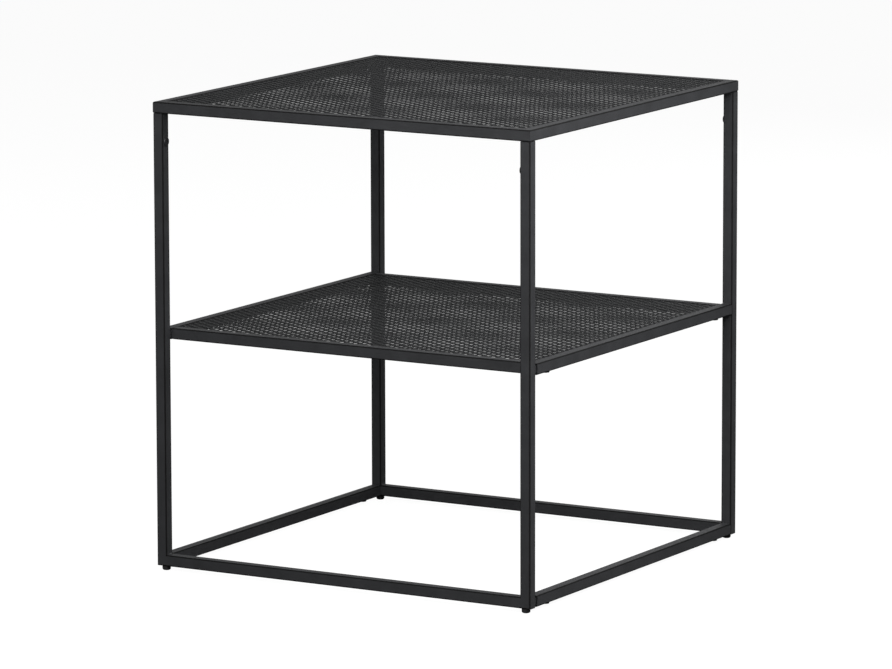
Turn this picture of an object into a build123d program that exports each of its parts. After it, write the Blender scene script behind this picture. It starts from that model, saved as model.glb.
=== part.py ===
"""A square two-tier side table of black powder-coated steel tube, with expanded-metal top and shelf.

A front and a back leg frame, each two legs welded to a base rail, are tied together by two base rails
and by the shelf. Those slip over pegs on the legs and are bolted from below: they stop against the back
legs and stay a little clear of the front ones. The top frame drops four pegs into the open ends of the
legs and is bolted from the inside of each leg.

Millimetres. X runs left to right along the front, Y runs from front to back, Z is up, and the origin is
the centre of the footprint on the floor.
"""

import os

from build123d import *

os.makedirs("parts", exist_ok=True)

# ---------------------------------------------------------------- driving dimensions
table_width = 453.0  # X, over the legs
table_depth = 455.0  # Y, over the legs
table_height = 500.0  # floor to the top of the top frame
shelf_top_height = 258.5  # floor to the top of the shelf frame
foot_height = 5.0  # floor to the underside of the base rails

tube = 12.0  # square tube, outside
wall = 1.2
tube_corner = 1.5  # outside corner radius
slip_gap = 3.4  # from a front leg to the end of a side rail
seam_chamfer = 0.5  # broken edge round the top of each leg, under the top frame

mesh_recess = 1.2  # from the top of a frame down to its mesh
mesh_thickness = 1.0  # expanded steel sheet
mesh_strand = 2.0  # width of each strand
mesh_short_pitch = 10.0  # from diamond to diamond, front to back

peg = 9.2  # square bar that slides in the tube's bore
peg_corner = 1.0
peg_length = 42.0
peg_lead = 0.8  # chamfer round the free end of a peg

bolt_from_joint = 30.0  # bolt axis from the face that its peg is welded to
bolt_radius = 2.48  # M5, over the thread
bolt_length = 8.0
bolt_head_radius = 4.6
bolt_head_height = 1.5
bolt_head_round = 0.7
hex_key = 3.0
hex_key_depth = 1.1
tapped_radius = 2.5
clearance_radius = 2.75

foot_radius = 4.5
foot_round = 2.0
foot_inset = 8.0  # foot axis from the table's left or right side face
foot_stem_radius = 2.4
foot_stem_length = 6.0
foot_hole_radius = 2.5
foot_barb_radius = 2.9
foot_barb_gap = 0.2  # from the inside of the tube wall up to the barb
foot_barb_taper = 12.0  # degrees

drill_margin = 1.0  # how far a drilled hole starts and ends clear of its wall

# ---------------------------------------------------------------- derived places
half_width = table_width / 2
half_depth = table_depth / 2
bore = tube - 2 * wall
leg_x = half_width - tube / 2  # centre lines of the legs
leg_y = half_depth - tube / 2
inner_x = half_width - tube  # faces of the legs that look inwards
inner_y = half_depth - tube
top_underside = table_height - tube
base_z = foot_height + tube / 2  # centre lines of the level tubes
shelf_z = shelf_top_height - tube / 2
top_z = table_height - tube / 2
side_rail_front = slip_gap - inner_y
shelf_rail_y = -side_rail_front - tube / 2
mesh_sheet = 2 * mesh_strand * mesh_thickness / mesh_short_pitch  # plain sheet of the same mass
peg_bolt_y = inner_y - bolt_from_joint
peg_bolt_z = top_underside - bolt_from_joint

SIDES = {"left": -1, "right": 1}  # sign of X
ENDS = {"front": -1, "back": 1}  # sign of Y


def write(name, builder):
    """Label a finished piece and save it under its node name."""
    builder.part.label = name
    export_step(builder.part, f"parts/{name}.step")


def facing(x, y, z, direction):
    """A plane at a point, looking along an axis direction."""
    return Plane(origin=(x, y, z), z_dir=direction)


def square_tube(start, length):
    """Add one length of square tube to the open part, along the normal of its start plane."""
    with BuildSketch(start) as section:
        RectangleRounded(tube, tube, tube_corner)
        RectangleRounded(bore, bore, tube_corner - wall, mode=Mode.SUBTRACT)
    extrude(section.sketch, amount=length)


def drill(start, radius, depth):
    """Cut a round hole in the open part, along the normal of its start plane."""
    with BuildSketch(start) as hole:
        Circle(radius)
    extrude(hole.sketch, amount=depth, mode=Mode.SUBTRACT)


def square_peg(start):
    """Add a solid peg to the open part, welded at its start plane, with a chamfered free end."""
    with BuildSketch(start) as section:
        RectangleRounded(peg, peg, peg_corner)
    extrude(section.sketch, amount=peg_length)
    free_end = faces().sort_by(Axis(start.origin, start.z_dir))[-1]
    chamfer(free_end.edges(), peg_lead)


# ---------------------------------------------------------------- legs
# Each leg is mitred at its foot to the front or back base rail. It takes the bolt of a top peg through
# the wall that faces across the table.
for end, y_sign in ENDS.items():
    for side, x_sign in SIDES.items():
        with BuildPart() as leg:
            leg_start = facing(x_sign * leg_x, y_sign * leg_y, foot_height, (0, 0, 1))
            square_tube(leg_start, top_underside - foot_height)
            top_ring = leg.faces().sort_by(Axis.Z)[-1]
            chamfer(top_ring.outer_wire().edges(), seam_chamfer)
            split(bisect_by=facing(x_sign * half_width, 0, foot_height, (x_sign, 0, 1)))
            wall_start = facing(x_sign * (inner_x - drill_margin), y_sign * leg_y, peg_bolt_z, (x_sign, 0, 0))
            drill(wall_start, clearance_radius, wall + 2 * drill_margin)
        write(f"leg_{end}_{side}", leg)

# ---------------------------------------------------------------- base rails
# The front and back rails close the leg frames and carry the feet. The side rails slip over pegs.
for end, y_sign in ENDS.items():
    with BuildPart() as base_rail:
        square_tube(facing(-half_width, y_sign * leg_y, base_z, (1, 0, 0)), table_width)
        for x_sign in SIDES.values():
            split(bisect_by=facing(x_sign * half_width, 0, foot_height, (-x_sign, 0, -1)))
            foot_x = x_sign * (half_width - foot_inset)
            wall_start = facing(foot_x, y_sign * leg_y, foot_height - drill_margin, (0, 0, 1))
            drill(wall_start, foot_hole_radius, wall + 2 * drill_margin)
    write(f"base_rail_{end}", base_rail)


def side_rail(x, z):
    """A side rail's tube, open at both ends, with a bolt hole up through its floor at each end."""
    with BuildPart() as rail:
        square_tube(facing(x, side_rail_front, z, (0, 1, 0)), inner_y - side_rail_front)
        for y_sign in ENDS.values():
            wall_start = facing(x, y_sign * peg_bolt_y, z - tube / 2 - drill_margin, (0, 0, 1))
            drill(wall_start, clearance_radius, wall + 2 * drill_margin)
    return rail


for side, x_sign in SIDES.items():
    write(f"base_rail_{side}", side_rail(x_sign * leg_x, base_z))

# ---------------------------------------------------------------- shelf
# The front and back rails are butt-welded between the side rails, as far from the back legs as from the
# front ones.
for side, x_sign in SIDES.items():
    write(f"shelf_rail_{side}", side_rail(x_sign * leg_x, shelf_z))

for end, y_sign in ENDS.items():
    with BuildPart() as shelf_rail:
        square_tube(facing(-inner_x, y_sign * shelf_rail_y, shelf_z, (1, 0, 0)), 2 * inner_x)
    write(f"shelf_rail_{end}", shelf_rail)

with BuildPart() as shelf_mesh:
    with BuildSketch(Plane.XY.offset(shelf_top_height - mesh_recess)):
        Rectangle(2 * inner_x, 2 * (shelf_rail_y - tube / 2))
    extrude(amount=-mesh_sheet)
write("shelf_mesh", shelf_mesh)

# ---------------------------------------------------------------- top frame
# Four rails mitred at the corners, level with the outside of the legs.
for end, y_sign in ENDS.items():
    with BuildPart() as top_rail:
        square_tube(facing(-half_width, y_sign * leg_y, top_z, (1, 0, 0)), table_width)
        for x_sign in SIDES.values():
            split(bisect_by=facing(x_sign * half_width, y_sign * half_depth, 0, (-x_sign, y_sign, 0)))
    write(f"top_rail_{end}", top_rail)

for side, x_sign in SIDES.items():
    with BuildPart() as top_rail:
        square_tube(facing(x_sign * leg_x, -half_depth, top_z, (0, 1, 0)), table_depth)
        for y_sign in ENDS.values():
            split(bisect_by=facing(x_sign * half_width, y_sign * half_depth, 0, (x_sign, -y_sign, 0)))
    write(f"top_rail_{side}", top_rail)

with BuildPart() as top_mesh:
    with BuildSketch(Plane.XY.offset(table_height - mesh_recess)):
        Rectangle(2 * inner_x, 2 * inner_y)
    extrude(amount=-mesh_sheet)
write("top_mesh", top_mesh)

# ---------------------------------------------------------------- pegs
for end, y_sign in ENDS.items():
    for side, x_sign in SIDES.items():
        x = x_sign * leg_x
        with BuildPart() as top_peg:
            square_peg(facing(x, y_sign * leg_y, top_underside, (0, 0, -1)))
            side_x = x - x_sign * (peg / 2 + drill_margin)
            side_start = facing(side_x, y_sign * leg_y, peg_bolt_z, (x_sign, 0, 0))
            drill(side_start, tapped_radius, peg + 2 * drill_margin)
        write(f"top_peg_{end}_{side}", top_peg)

        for level, z in {"shelf": shelf_z, "base": base_z}.items():
            with BuildPart() as level_peg:
                square_peg(facing(x, y_sign * inner_y, z, (0, -y_sign, 0)))
                under_start = facing(x, y_sign * peg_bolt_y, z - peg / 2 - drill_margin, (0, 0, 1))
                drill(under_start, tapped_radius, peg + 2 * drill_margin)
            write(f"{level}_peg_{end}_{side}", level_peg)

# ---------------------------------------------------------------- bolts
# One low-head hexagon-socket bolt, standing head up on its seat at the origin.
with BuildPart() as bolt:
    with BuildSketch():
        Circle(bolt_head_radius)
    extrude(amount=bolt_head_height)
    fillet(bolt.edges().sort_by(Axis.Z)[-1], bolt_head_round)
    with BuildSketch(Plane.XY.offset(bolt_head_height)):
        RegularPolygon(hex_key / 2, 6, major_radius=False)
    extrude(amount=-hex_key_depth, mode=Mode.SUBTRACT)
    with BuildSketch():
        Circle(bolt_radius)
    extrude(amount=-bolt_length)

bolt_seats = {"top_bolts": [], "shelf_bolts": [], "base_bolts": []}
for y_sign in ENDS.values():
    for x_sign in SIDES.values():
        x, y = x_sign * leg_x, y_sign * peg_bolt_y
        bolt_seats["top_bolts"].append(facing(x_sign * inner_x, y_sign * leg_y, peg_bolt_z, (-x_sign, 0, 0)))
        bolt_seats["shelf_bolts"].append(facing(x, y, shelf_z - tube / 2, (0, 0, -1)))
        bolt_seats["base_bolts"].append(facing(x, y, base_z - tube / 2, (0, 0, -1)))

for name, seats in bolt_seats.items():
    with BuildPart() as bolt_set:
        with Locations(*seats):
            add(bolt.part)
    write(name, bolt_set)

# ---------------------------------------------------------------- feet
# Plastic glides pushed into the underside of the front and back base rails.
barb_z = foot_height + wall + foot_barb_gap
barb_height = foot_height + foot_stem_length - barb_z

for end, y_sign in ENDS.items():
    for side, x_sign in SIDES.items():
        x, y = x_sign * (half_width - foot_inset), y_sign * leg_y
        with BuildPart() as foot:
            with BuildSketch(facing(x, y, 0, (0, 0, 1))):
                Circle(foot_radius)
            extrude(amount=foot_height)
            fillet(foot.edges().sort_by(Axis.Z)[0], foot_round)
            with BuildSketch(facing(x, y, foot_height, (0, 0, 1))):
                Circle(foot_stem_radius)
            extrude(amount=foot_stem_length)
            with BuildSketch(facing(x, y, barb_z, (0, 0, 1))):
                Circle(foot_barb_radius)
            extrude(amount=barb_height, taper=foot_barb_taper)
        write(f"foot_{end}_{side}", foot)
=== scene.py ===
"""Looks of a square two-tier side table: black powder-coated steel tube with expanded-metal top and shelf.

The tubes, pegs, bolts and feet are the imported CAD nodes, and here they get their materials. The two mesh
panels are plain sheets in CAD, so real expanded metal stands for them here. Welds are added where the
welded pieces meet. Everything is in metres, in the part's own frame.
"""

import math

import bmesh
import bpy
from mathutils import Matrix, Vector


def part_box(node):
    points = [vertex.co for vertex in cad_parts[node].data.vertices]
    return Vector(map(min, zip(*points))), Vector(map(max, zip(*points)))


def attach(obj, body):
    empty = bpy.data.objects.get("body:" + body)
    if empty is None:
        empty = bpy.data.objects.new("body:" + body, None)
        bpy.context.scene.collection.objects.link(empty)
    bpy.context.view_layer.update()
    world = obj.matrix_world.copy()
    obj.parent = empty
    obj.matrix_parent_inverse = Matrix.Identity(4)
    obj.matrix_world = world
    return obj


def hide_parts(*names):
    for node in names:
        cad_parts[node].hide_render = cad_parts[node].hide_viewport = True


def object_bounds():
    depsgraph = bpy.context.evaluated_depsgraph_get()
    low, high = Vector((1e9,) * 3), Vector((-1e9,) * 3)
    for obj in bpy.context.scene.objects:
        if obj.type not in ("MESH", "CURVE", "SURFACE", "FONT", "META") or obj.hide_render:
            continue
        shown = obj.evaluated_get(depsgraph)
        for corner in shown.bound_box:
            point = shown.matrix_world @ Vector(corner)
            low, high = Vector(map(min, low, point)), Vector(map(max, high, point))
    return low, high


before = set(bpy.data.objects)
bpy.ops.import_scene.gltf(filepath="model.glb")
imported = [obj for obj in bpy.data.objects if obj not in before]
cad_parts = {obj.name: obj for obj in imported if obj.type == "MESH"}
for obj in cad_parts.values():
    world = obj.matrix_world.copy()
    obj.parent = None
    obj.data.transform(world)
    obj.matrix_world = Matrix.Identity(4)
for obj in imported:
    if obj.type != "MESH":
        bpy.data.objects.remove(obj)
cad_low, cad_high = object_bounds()

# ---------------------------------------------------------------- sizes, in metres
MM = 0.001

# Expanded metal: the long way of its diamonds runs left to right.
LONG_PITCH = 16.5 * MM
SHORT_PITCH = 10.0 * MM
STRAND_WIDTH = 2.0 * MM
SHEET_THICKNESS = 1.0 * MM
BOND_LENGTH = 5.8 * MM  # where two strands are still one piece of sheet
TOP_TILT = -0.09 * MM  # from a bond's middle up to its back edge, because stretching tilts it
SHELF_TILT = 0.025 * MM
STRAND_STEPS = 4
PANEL_DEPTH = 0.6 * MM  # from the top of the frame down to the highest point of a flat panel
WARP = 0.15 * MM  # how far a panel bulges up and down between its welded edges
WARPS_ACROSS = 5  # half waves from left to right
WARPS_DEEP = 7  # half waves from front to back
INTO_TUBE = 0.4 * MM  # how far the ends of the strands are let into the tube wall
SHARP_EDGE = math.radians(40)  # edges that turn by more than this are not shaded smooth

WELD_LEG = 1.3 * MM  # from the root of a fillet weld along either face
PEG_WELD_LEG = 0.7 * MM  # for the welds that fit inside the slits
WELD_CROWN = 0.2  # how far the middle of a bead stands proud, as a share of its leg
WELD_END = 0.05  # how full the very end of a bead is, as the square of its size there
WELD_RIPPLE = 0.9 * MM  # from one ripple of a weld to the next
RIPPLE_DEPTH = 0.12  # as a share of the leg
RIPPLE_LAG = 0.3  # how far the middle of a ripple trails behind its ends, as a share of the ripple
STATIONS_PER_RIPPLE = 5
WELD_ARC_STEPS = 6
WELD_SINK = 0.2 * MM  # how far a weld reaches into the metal behind it
TUBE_CORNER = 1.5 * MM  # outside corner radius of the tubes
PEG_CORNER = 1.0 * MM
TACK_SPACING = 3 * LONG_PITCH  # from one tack weld of a panel to the next
TACK_RADIUS = 1.4 * MM
TACK_HEIGHT = 0.6 * TACK_RADIUS  # how far it stands out from the tube
TACK_SQUASH = 0.8  # its height up the tube, as a share of its width
TACK_TURNS = 10
TACK_STEPS = 4

# The camera looks at a point just off the middle of the table, from its front right corner.
CAMERA_AZIMUTH = math.radians(30.156)
CAMERA_ELEVATION = math.radians(9.6745)
CAMERA_ROLL = math.radians(-0.1162)
CAMERA_DISTANCE = 6.6905
CAMERA_SIDE = -0.0038
CAMERA_RISE = -0.0117
CAMERA_LENS = 253.4  # mm on a 36 mm sensor

# The studio's walls are darker in front and brighter behind, under a dark ceiling.
FRONT_WALLS = 0.03
BACK_WALLS = 0.33
CEILING = 0.03
BEHIND = (-0.5, 0.866, 0.0)  # towards the bright walls
WALLS_TURN = 0.4  # the walls go from dark to bright as BEHIND . view goes from minus this to this
CEILING_START, CEILING_END = 0.45, 0.75  # the walls turn into the ceiling as up . view goes between these
FLOOR_SIZE = 60.0
FLOOR_BOUNCE = 0.12  # how much of the light on the floor comes back from it
FLOOR_GLOW = 0.95  # what the floor adds to its own brightness in view, as a lit backdrop does


# ---------------------------------------------------------------- helpers
def new_object(name, mesh):
    """Link a mesh as an object of its own."""
    obj = bpy.data.objects.new(name, mesh)
    bpy.context.scene.collection.objects.link(obj)
    return obj


def mesh_from(name, vertices, faces):
    """An object from plain lists of points and faces."""
    mesh = bpy.data.meshes.new(name)
    mesh.from_pydata(vertices, [], faces)
    mesh.validate()
    return new_object(name, mesh)


def smooth_step(t):
    """0 to 1 with a level start and end."""
    return t * t * (3 - 2 * t)


# ---------------------------------------------------------------- materials
FRAME_COLOUR = (0.0323, 0.0330, 0.0353)
# painted shade: near-black colour laid on the tubes' rounded corners
CORNER_PAINTED_SHADE = (0.003, 0.003, 0.0032)
CORNER_ROUGHNESS = 0.9
CORNER_NORMAL, FACE_NORMAL = 0.97, 0.9995  # largest part of the normal on a tube's corner and on its face
# painted shade: the frame's coat, darkened to about half for the shade the strands cast on each other
MESH_SHADED_COLOUR = (0.0155, 0.0161, 0.0170)


class Nodes:
    """A new material with a Principled shader, and short ways to add and link nodes."""

    def __init__(self, name):
        self.material = bpy.data.materials.new(name)
        self.material.use_nodes = True
        self.tree = self.material.node_tree
        self.shader = self.tree.nodes["Principled BSDF"]

    def add(self, kind, **values):
        node = self.tree.nodes.new(kind)
        for key, value in values.items():
            setattr(node, key, value)
        return node

    def link(self, source, target):
        self.tree.links.new(source, target)

    def set(self, socket, source):
        """Link a source to one of the shader's sockets."""
        self.link(source, self.shader.inputs[socket])

    def noise(self, scale, detail=3.0, roughness=0.55):
        """A noise pattern in the part's own coordinates, with this many features to the metre."""
        place = self.add("ShaderNodeTexCoord")
        noise = self.add("ShaderNodeTexNoise")
        noise.inputs["Scale"].default_value = scale
        noise.inputs["Detail"].default_value = detail
        noise.inputs["Roughness"].default_value = roughness
        self.link(place.outputs["Object"], noise.inputs["Vector"])
        return noise.outputs["Fac"]

    def between(self, source, low, high, start=0.3, end=0.7):
        """A number that goes from low to high as its source goes from start to end."""
        node = self.add("ShaderNodeMapRange")
        node.inputs["From Min"].default_value = start
        node.inputs["From Max"].default_value = end
        node.inputs["To Min"].default_value = low
        node.inputs["To Max"].default_value = high
        self.link(source, node.inputs["Value"])
        return node.outputs["Result"]

    def maths(self, operation, *values):
        """A Math node on one or two linked values."""
        node = self.add("ShaderNodeMath", operation=operation)
        for socket, value in zip(node.inputs, values):
            self.link(value, socket)
        return node.outputs["Value"]

    def colours(self, factor, first, second):
        """A colour that goes from first to second with the factor."""
        node = self.add("ShaderNodeMix", data_type="RGBA")
        self.link(factor, node.inputs["Factor"])
        sockets = [s for s in node.inputs if s.type == "RGBA"]
        for socket, value in zip(sockets, (first, second)):
            if isinstance(value, tuple):
                socket.default_value = (*value, 1)
            else:
                self.link(value, socket)
        return next(s for s in node.outputs if s.type == "RGBA")

    def bump(self, height, distance, strength, normal=None):
        """A bumped normal, on top of another one if that is given."""
        node = self.add("ShaderNodeBump")
        node.inputs["Strength"].default_value = strength
        node.inputs["Distance"].default_value = distance
        self.link(height, node.inputs["Height"])
        if normal is not None:
            self.link(normal, node.inputs["Normal"])
        return node.outputs["Normal"]

    def flatness(self):
        """1 where the surface faces straight along an axis, falling to 0 on a rounded corner."""
        place = self.add("ShaderNodeTexCoord")
        parts = self.add("ShaderNodeSeparateXYZ")
        self.link(place.outputs["Normal"], parts.inputs["Vector"])
        x, y, z = (self.maths("ABSOLUTE", parts.outputs[axis]) for axis in "XYZ")
        most = self.maths("MAXIMUM", self.maths("MAXIMUM", x, y), z)
        return self.between(most, 0.0, 1.0, CORNER_NORMAL, FACE_NORMAL)


def powder_coat(name, face_colour, roughness, specular, painted_corner_shade=False):
    """Fine-textured satin powder coat. Optionally, painted shade darkens its rounded corners to near-black,
    and they are made rougher there.
    """
    nodes = Nodes(name)
    shade = nodes.between(nodes.noise(45.0), 0.0, 1.0)
    dark, light = (tuple(c * k for c in face_colour) for k in (0.88, 1.12))
    colour = nodes.colours(shade, dark, light)
    grain = nodes.noise(1700.0, detail=2.0)
    rough = nodes.between(grain, roughness - 0.05, roughness + 0.05)
    if painted_corner_shade:
        # painted shade: the rounded corners are darkened to near-black
        flat = nodes.flatness()
        colour = nodes.colours(flat, CORNER_PAINTED_SHADE, colour)
        more = nodes.between(flat, CORNER_ROUGHNESS - roughness, 0.0, 0.0, 1.0)
        rough = nodes.maths("ADD", rough, more)
    peel = nodes.bump(nodes.noise(520.0, detail=2.0), 0.16 * MM, 0.8)
    nodes.set("Base Color", colour)
    nodes.set("Roughness", rough)
    nodes.set("Normal", nodes.bump(grain, 0.14 * MM, 0.9, peel))
    nodes.shader.inputs["Specular IOR Level"].default_value = specular
    return nodes.material


def black_zinc(name):
    """Dark zinc plating on a machined bolt."""
    nodes = Nodes(name)
    shade = nodes.between(nodes.noise(900.0), 0.0, 1.0)
    nodes.set("Base Color", nodes.colours(shade, (0.010, 0.010, 0.011), (0.024, 0.024, 0.026)))
    nodes.set("Roughness", nodes.between(nodes.noise(2500.0), 0.28, 0.42))
    nodes.set("Normal", nodes.bump(nodes.noise(4000.0), 0.01 * MM, 0.5))
    return nodes.material


def moulded_plastic(name):
    """Black polyethylene with a fine spark-eroded texture."""
    nodes = Nodes(name)
    shade = nodes.between(nodes.noise(300.0), 0.0, 1.0)
    nodes.set("Base Color", nodes.colours(shade, (0.010, 0.010, 0.011), (0.016, 0.016, 0.017)))
    nodes.set("Roughness", nodes.between(nodes.noise(1500.0), 0.5, 0.62))
    nodes.set("Normal", nodes.bump(nodes.noise(3000.0), 0.02 * MM, 0.6))
    nodes.shader.inputs["Specular IOR Level"].default_value = 0.4
    return nodes.material


# the frame's coat carries painted shade on its rounded corners
frame_coat = powder_coat("frame_powder_coat", FRAME_COLOUR, 0.45, 0.22, painted_corner_shade=True)
# the mesh coat's colour carries painted shade from the strands shadowing each other
mesh_coat = powder_coat("mesh_powder_coat", MESH_SHADED_COLOUR, 0.5, 0.2)
weld_coat = powder_coat("weld_powder_coat", FRAME_COLOUR, 0.45, 0.22)
bolt_finish = black_zinc("bolt_black_zinc")
foot_finish = moulded_plastic("foot_plastic")

for name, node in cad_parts.items():
    if name.endswith("_bolts"):
        finish = bolt_finish
    elif name.startswith("foot_"):
        finish = foot_finish
    else:
        finish = frame_coat
    node.data.materials.clear()
    node.data.materials.append(finish)


# ---------------------------------------------------------------- expanded metal
class Lattice:
    """The points and faces of expanded metal round the origin: bonds, and the strands that join them.

    Bond p, q is p half pitches to the right and q half pitches back, and p + q is even.
    """

    def __init__(self, half_x, half_y, middle, tilt):
        self.half_x, self.half_y = half_x, half_y
        self.middle, self.tilt = middle, tilt
        self.vertices, self.faces = [], []
        columns = math.ceil(half_x / (LONG_PITCH / 2)) + 1
        rows = math.ceil(half_y / (SHORT_PITCH / 2)) + 1
        bonds = {
            (p, q): self.bond(p, q)
            for p in range(-columns, columns + 1)
            for q in range(-rows, rows + 1)
            if (p + q) % 2 == 0
        }
        for (p, q), (_, right_end) in bonds.items():
            for step in (1, -1):
                if (p + 1, q + step) in bonds:
                    left_end, _ = bonds[p + 1, q + step]
                    self.strand(p, q, step, right_end, left_end)

    def height(self, x, y):
        """Where the middle of the sheet is, bulging up and down in half waves that end at its edges."""
        across = math.sin(math.pi * WARPS_ACROSS * (x / self.half_x + 1) / 2)
        deep = math.sin(math.pi * WARPS_DEEP * (y / self.half_y + 1) / 2)
        return self.middle + WARP * across * deep

    def pair(self, x, y, z):
        """Add the bottom and the top point of the sheet at one place."""
        for side in (-0.5, 0.5):
            self.vertices.append((x, y, z + side * SHEET_THICKNESS))

    def bond(self, p, q):
        """Add a bond: two strands' width of sheet. Returns where its left and its right end start.

        Each end is front bottom, front top, middle bottom, middle top, back bottom, back top.
        """
        x, y = p * LONG_PITCH / 2, q * SHORT_PITCH / 2
        ends = []
        for side in (-0.5, 0.5):
            ends.append(len(self.vertices))
            for row in (-1, 0, 1):
                self.pair(x + side * BOND_LENGTH, y + row * STRAND_WIDTH, self.height(x, y) + row * self.tilt)
        left, right = ends
        ring = (0, 1, 3, 5, 4, 2)
        for a, b in zip(ring, ring[1:] + ring[:1]):
            self.faces.append((left + a, left + b, right + b, right + a))
        return left, right

    def bond_section(self, start, back_half):
        """The half of a bond's end that a strand leaves from."""
        first = start + (2 if back_half else 0)
        return first, first + 1, first + 3, first + 2

    def section(self, x, y, z):
        """Add a strand cut across: front bottom, front top, back top, back bottom."""
        start = len(self.vertices)
        z += self.height(x, y)
        self.pair(x, y, z)
        self.pair(x, y + STRAND_WIDTH, z + self.tilt)
        return start, start + 1, start + 3, start + 2

    def strand(self, p, q, step, right_end, left_end):
        """Add the strand from a bond's right end to the left end of the next bond back or forward."""
        goes_back = step > 0
        x0 = p * LONG_PITCH / 2 + BOND_LENGTH / 2
        x1 = (p + 1) * LONG_PITCH / 2 - BOND_LENGTH / 2
        y0 = q * SHORT_PITCH / 2 - (0 if goes_back else STRAND_WIDTH)
        y1 = (q + step) * SHORT_PITCH / 2 - (STRAND_WIDTH if goes_back else 0)
        z0, z1 = (0, -self.tilt) if goes_back else (-self.tilt, 0)
        sections = [self.bond_section(right_end, goes_back)]
        for k in range(1, STRAND_STEPS):
            t = k / STRAND_STEPS
            s = (t + smooth_step(t)) / 2
            sections.append(self.section(x0 + (x1 - x0) * t, y0 + (y1 - y0) * s, z0 + (z1 - z0) * s))
        sections.append(self.bond_section(left_end, not goes_back))
        for first, second in zip(sections, sections[1:]):
            for k in range(4):
                n = (k + 1) % 4
                self.faces.append((first[k], first[n], second[n], second[k]))


def trim(bm, half_x, half_y):
    """Cut a panel off at its four edges and close the cuts."""
    for place, normal in (
        ((half_x, 0, 0), (1, 0, 0)), ((-half_x, 0, 0), (-1, 0, 0)),
        ((0, half_y, 0), (0, 1, 0)), ((0, -half_y, 0), (0, -1, 0)),
    ):
        everything = bm.verts[:] + bm.edges[:] + bm.faces[:]
        cut = bmesh.ops.bisect_plane(
            bm, geom=everything, dist=1e-7, plane_co=place, plane_no=normal, clear_outer=True
        )
        edges = [e for e in cut["geom_cut"] if isinstance(e, bmesh.types.BMEdge)]
        bmesh.ops.holes_fill(bm, edges=edges, sides=0)


def expanded_metal(name, node, frame_top, tilt):
    """A panel of expanded metal over the whole of a CAD sheet, with its strands' ends let into the tubes."""
    low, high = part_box(node)
    half_x = (high.x - low.x) / 2 + INTO_TUBE
    half_y = (high.y - low.y) / 2 + INTO_TUBE
    middle = frame_top - PANEL_DEPTH - abs(tilt) - SHEET_THICKNESS / 2
    lattice = Lattice(half_x, half_y, middle, tilt)
    panel = mesh_from(name, lattice.vertices, lattice.faces)
    bm = bmesh.new()
    bm.from_mesh(panel.data)
    trim(bm, half_x, half_y)
    bmesh.ops.recalc_face_normals(bm, faces=bm.faces[:])
    for face in bm.faces:
        face.smooth = True
    for edge in bm.edges:
        edge.smooth = len(edge.link_faces) == 2 and edge.calc_face_angle(0) <= SHARP_EDGE
    bm.to_mesh(panel.data)
    bm.free()
    panel.data.materials.append(mesh_coat)
    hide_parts(node)
    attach(panel, "root")


expanded_metal("top_expanded_metal", "top_mesh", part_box("top_rail_front")[1].z, TOP_TILT)
expanded_metal("shelf_expanded_metal", "shelf_mesh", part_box("shelf_rail_front")[1].z, SHELF_TILT)


# ---------------------------------------------------------------- welds
def weld_piece(name, vertices, faces):
    """A welded piece of the frame: coated like the tubes, without the painted shade on their corners."""
    piece = mesh_from(name, vertices, faces)
    bm = bmesh.new()
    bm.from_mesh(piece.data)
    bmesh.ops.recalc_face_normals(bm, faces=bm.faces[:])
    bm.to_mesh(piece.data)
    bm.free()
    piece.data.polygons.foreach_set("use_smooth", [True] * len(piece.data.polygons))
    piece.data.materials.append(weld_coat)
    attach(piece, "root")


def fillet_weld(vertices, faces, start, end, first, second, leg=WELD_LEG):
    """Add a rippled bead along the inside corner from start to end of two faces with these normals."""
    start, end, first, second = (Vector(v) for v in (start, end, first, second))
    along = (end - start).normalized()
    length = (end - start).length
    stations = round(length / WELD_RIPPLE * STATIONS_PER_RIPPLE)
    rings = []
    for k in range(stations + 1):
        s = length * k / stations
        from_end = min(s, length - s)
        swell = math.sqrt(min(1.0, from_end / leg + WELD_END))
        ripple = abs(math.sin(math.pi * s / WELD_RIPPLE))
        size = leg * swell * (1 - RIPPLE_DEPTH + RIPPLE_DEPTH * ripple)
        ring = [len(vertices)]
        vertices.append(start + along * s - (first + second) * WELD_SINK)
        for step in range(WELD_ARC_STEPS + 1):
            angle = math.pi / 2 * step / WELD_ARC_STEPS
            a, b = math.cos(angle), math.sin(angle)
            bulge = math.sin(2 * angle)
            reach = size * (1 + WELD_CROWN * bulge) / (a + b)
            lag = RIPPLE_LAG * WELD_RIPPLE * bulge * min(1.0, from_end / WELD_RIPPLE)
            point = start + along * (s - lag) + (first * a + second * b) * reach
            if step == 0:
                point -= second * WELD_SINK
            elif step == WELD_ARC_STEPS:
                point -= first * WELD_SINK
            ring.append(len(vertices))
            vertices.append(point)
        rings.append(ring)
    for near, far in zip(rings, rings[1:]):
        for k in range(len(near)):
            n = (k + 1) % len(near)
            faces.append((near[k], near[n], far[n], far[k]))
    faces.append(tuple(reversed(rings[0])))
    faces.append(tuple(rings[-1]))


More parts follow.
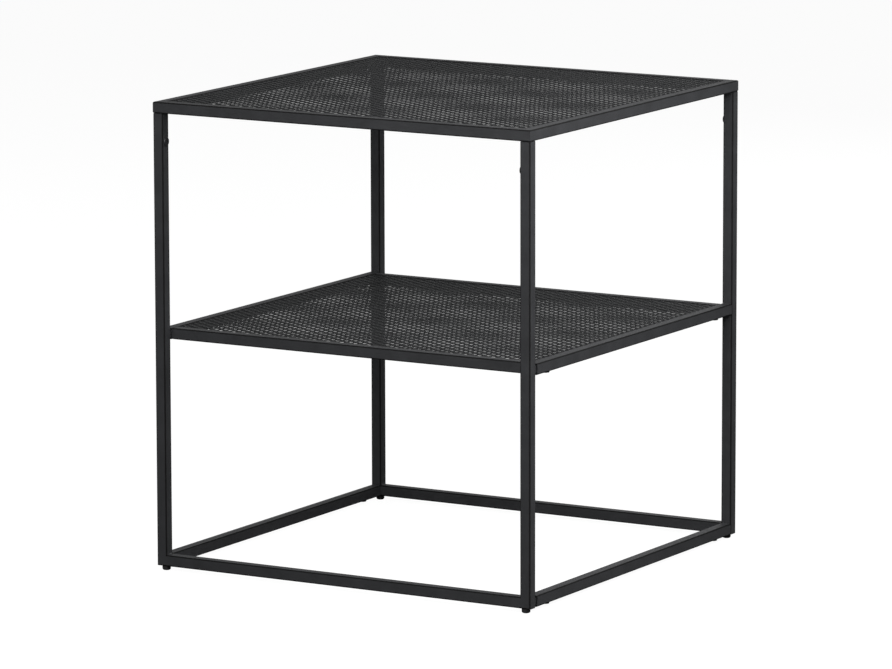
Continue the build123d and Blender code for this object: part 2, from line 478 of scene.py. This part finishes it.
def tack_weld(vertices, faces, place, inwards):
    """Add a small flattened drop of weld under the edge of a panel, on the tube face that looks inwards."""
    place, inwards = Vector(place), Vector(inwards)
    across = inwards.cross(Vector((0, 0, 1)))
    upwards = Vector((0, 0, TACK_SQUASH))
    crown = len(vertices)
    vertices.append(place + inwards * TACK_HEIGHT)
    rings = []
    for step in range(1, TACK_STEPS + 1):
        angle = math.pi / 2 * step / TACK_STEPS
        ring = []
        for turn in range(TACK_TURNS):
            around = math.tau * turn / TACK_TURNS
            outwards = across * math.cos(around) + upwards * math.sin(around)
            ring.append(len(vertices))
            vertices.append(
                place + outwards * TACK_RADIUS * math.sin(angle) + inwards * TACK_HEIGHT * math.cos(angle)
            )
        rings.append(ring)
    back = []
    for index in rings[-1]:
        back.append(len(vertices))
        vertices.append(vertices[index] - inwards * WELD_SINK)
    rings.append(back)
    for k in range(TACK_TURNS):
        n = (k + 1) % TACK_TURNS
        faces.append((crown, rings[0][k], rings[0][n]))
        for near, far in zip(rings, rings[1:]):
            faces.append((near[k], far[k], far[n], near[n]))
    faces.append(tuple(reversed(back)))


def corner_welds(name, low, high, bottom, top):
    """Upright fillet welds in the four inside corners of a frame whose opening goes from low to high."""
    vertices, faces = [], []
    for x, x_in in ((low.x, 1), (high.x, -1)):
        for y, y_in in ((low.y, 1), (high.y, -1)):
            fillet_weld(vertices, faces, (x, y, bottom), (x, y, top), (x_in, 0, 0), (0, y_in, 0))
    weld_piece(name, vertices, faces)


def panel_tacks(name, low, high, z):
    """Tack welds all round the underside of a panel, evenly spaced along each side."""
    vertices, faces = [], []

    def places(start, end):
        count = round((end - start) / TACK_SPACING)
        return [start + (end - start) * (k + 0.5) / count for k in range(count)]

    for x in places(low.x, high.x):
        tack_weld(vertices, faces, (x, low.y, z), (0, 1, 0))
        tack_weld(vertices, faces, (x, high.y, z), (0, -1, 0))
    for y in places(low.y, high.y):
        tack_weld(vertices, faces, (low.x, y, z), (1, 0, 0))
        tack_weld(vertices, faces, (high.x, y, z), (-1, 0, 0))
    weld_piece(name, vertices, faces)


def leg_welds(name):
    """Level fillet welds where each leg meets the top of its base rail, across the width of the tube."""
    vertices, faces = [], []
    for end in ("front", "back"):
        rail_low, rail_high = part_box("base_rail_" + end)
        for side, inwards in (("left", 1), ("right", -1)):
            leg_low, leg_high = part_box("leg_" + end + "_" + side)
            x = leg_high.x if inwards > 0 else leg_low.x
            start = (x, rail_low.y + TUBE_CORNER, rail_high.z)
            stop = (x, rail_high.y - TUBE_CORNER, rail_high.z)
            fillet_weld(vertices, faces, start, stop, (inwards, 0, 0), (0, 0, 1))
    weld_piece(name, vertices, faces)


def peg_welds(name, level):
    """Fillet welds round the root of each front peg, in the slit between the leg and its side rail."""
    vertices, faces = [], []
    for side in ("left", "right"):
        low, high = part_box(level + "_peg_front_" + side)
        x0, x1 = low.x + PEG_CORNER, high.x - PEG_CORNER
        z0, z1 = low.z + PEG_CORNER, high.z - PEG_CORNER
        for start, stop, out in (
            ((x0, low.y, high.z), (x1, low.y, high.z), (0, 0, 1)),
            ((x0, low.y, low.z), (x1, low.y, low.z), (0, 0, -1)),
            ((low.x, low.y, z0), (low.x, low.y, z1), (-1, 0, 0)),
            ((high.x, low.y, z0), (high.x, low.y, z1), (1, 0, 0)),
        ):
            fillet_weld(vertices, faces, start, stop, (0, 1, 0), out, PEG_WELD_LEG)
    weld_piece(name, vertices, faces)


for level in ("top", "shelf"):
    sheet_low, sheet_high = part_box(level + "_mesh")
    rail_low, rail_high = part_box(level + "_rail_front")
    under = rail_high.z - PANEL_DEPTH - SHEET_THICKNESS - TACK_HEIGHT
    corner_welds(level + "_corner_welds", sheet_low, sheet_high, rail_low.z + TUBE_CORNER / 2, under)
    panel_tacks(level + "_panel_tacks", sheet_low, sheet_high, under)
leg_welds("leg_welds")
peg_welds("shelf_peg_welds", "shelf")
peg_welds("base_peg_welds", "base")


# ---------------------------------------------------------------- stage, light and camera
def make_floor():
    """A wide pale floor that is brighter to the camera than to the table."""
    bpy.ops.mesh.primitive_grid_add(x_subdivisions=8, y_subdivisions=8, size=FLOOR_SIZE)
    floor = bpy.context.object
    floor.name = "floor"
    nodes = Nodes("studio_floor")
    nodes.shader.inputs["Base Color"].default_value = (FLOOR_BOUNCE, FLOOR_BOUNCE, FLOOR_BOUNCE, 1)
    nodes.shader.inputs["Roughness"].default_value = 0.9
    nodes.shader.inputs["Specular IOR Level"].default_value = 0.0
    glow = nodes.add("ShaderNodeEmission")
    glow.inputs["Color"].default_value = (1, 1, 1, 1)
    path = nodes.add("ShaderNodeLightPath")
    strength = nodes.between(path.outputs["Is Camera Ray"], 0.0, FLOOR_GLOW, 0.0, 1.0)
    nodes.link(strength, glow.inputs["Strength"])
    both = nodes.add("ShaderNodeAddShader")
    nodes.link(nodes.shader.outputs["BSDF"], both.inputs[0])
    nodes.link(glow.outputs["Emission"], both.inputs[1])
    nodes.link(both.outputs["Shader"], nodes.tree.nodes["Material Output"].inputs["Surface"])
    floor.data.materials.append(nodes.material)


def make_world():
    """Plain walls, dark in front and bright behind, under a ceiling of its own brightness."""
    world = bpy.data.worlds.new("studio")
    bpy.context.scene.world = world
    world.use_nodes = True
    tree = world.node_tree
    background = tree.nodes["Background"]
    place = tree.nodes.new("ShaderNodeTexCoord")

    def along(direction, low, high, start, end):
        """A number that goes from low to high as the view turns towards a direction."""
        dot = tree.nodes.new("ShaderNodeVectorMath")
        dot.operation = "DOT_PRODUCT"
        dot.inputs[1].default_value = direction
        tree.links.new(place.outputs["Generated"], dot.inputs[0])
        ramp = tree.nodes.new("ShaderNodeMapRange")
        ramp.interpolation_type = "SMOOTHSTEP"
        for socket, value in zip(("From Min", "From Max", "To Min", "To Max"), (start, end, low, high)):
            ramp.inputs[socket].default_value = value
        tree.links.new(dot.outputs["Value"], ramp.inputs["Value"])
        return ramp.outputs["Result"]

    walls = along(BEHIND, FRONT_WALLS, BACK_WALLS, -WALLS_TURN, WALLS_TURN)
    upwards = along((0, 0, 1), 0.0, 1.0, CEILING_START, CEILING_END)
    mix = tree.nodes.new("ShaderNodeMix")
    tree.links.new(upwards, mix.inputs["Factor"])
    tree.links.new(walls, mix.inputs[2])
    mix.inputs[3].default_value = CEILING
    tree.links.new(mix.outputs["Result"], background.inputs["Strength"])
    background.inputs["Color"].default_value = (1, 1, 1, 1)


def softbox(name, place, target, width, height, power):
    """A rectangular soft light that points at its target, with its power in watts."""
    data = bpy.data.lights.new(name, "AREA")
    data.shape = "RECTANGLE"
    data.size, data.size_y = width, height
    data.energy = power
    lamp = bpy.data.objects.new(name, data)
    lamp.visible_camera = False
    bpy.context.scene.collection.objects.link(lamp)
    lamp.location = place
    lamp.rotation_euler = (Vector(target) - Vector(place)).to_track_quat("-Z", "Y").to_euler()


def make_lights():
    """A big softbox in front, two small ones by the top's front right corner, and two for the far sides."""
    middle = (cad_low + cad_high) / 2
    near_corner = middle + Vector((0.1, -0.1, 0.15))
    softbox("front_softbox", (0.2, -2.9, 1.5), middle, 1.6, 1.8, 46.0)
    softbox("near_front_softbox", (0.35, -0.95, 0.95), near_corner, 0.6, 0.6, 5.4)
    softbox("near_right_softbox", (0.95, -0.15, 0.95), near_corner, 0.6, 0.6, 15.5)
    softbox("back_softbox", (-0.1, 3.0, 1.3), middle, 1.4, 1.4, 17.0)
    softbox("left_softbox", (-3.0, 0.1, 1.3), middle, 1.4, 1.4, 28.0)


def make_camera():
    """The camera stands off the front right corner, a little above the table."""
    back = Vector((
        math.sin(CAMERA_AZIMUTH) * math.cos(CAMERA_ELEVATION),
        -math.cos(CAMERA_AZIMUTH) * math.cos(CAMERA_ELEVATION),
        math.sin(CAMERA_ELEVATION),
    ))
    right = (-back).cross(Vector((0, 0, 1))).normalized()
    right = Matrix.Rotation(CAMERA_ROLL, 3, back) @ right
    up = back.cross(right)
    middle = Vector((0, 0, (cad_low.z + cad_high.z) / 2))
    place = middle + back * CAMERA_DISTANCE + right * CAMERA_SIDE + up * CAMERA_RISE
    data = bpy.data.cameras.new("camera")
    data.sensor_width = 36.0
    data.lens = CAMERA_LENS
    data.clip_end = 100.0
    camera = bpy.data.objects.new("camera", data)
    bpy.context.scene.collection.objects.link(camera)
    camera.matrix_world = Matrix((
        (right.x, up.x, back.x, place.x),
        (right.y, up.y, back.y, place.y),
        (right.z, up.z, back.z, place.z),
        (0, 0, 0, 1),
    ))
    bpy.context.scene.camera = camera


make_floor()
make_world()
make_lights()
make_camera()
bpy.context.scene.view_settings.view_transform = "Standard"
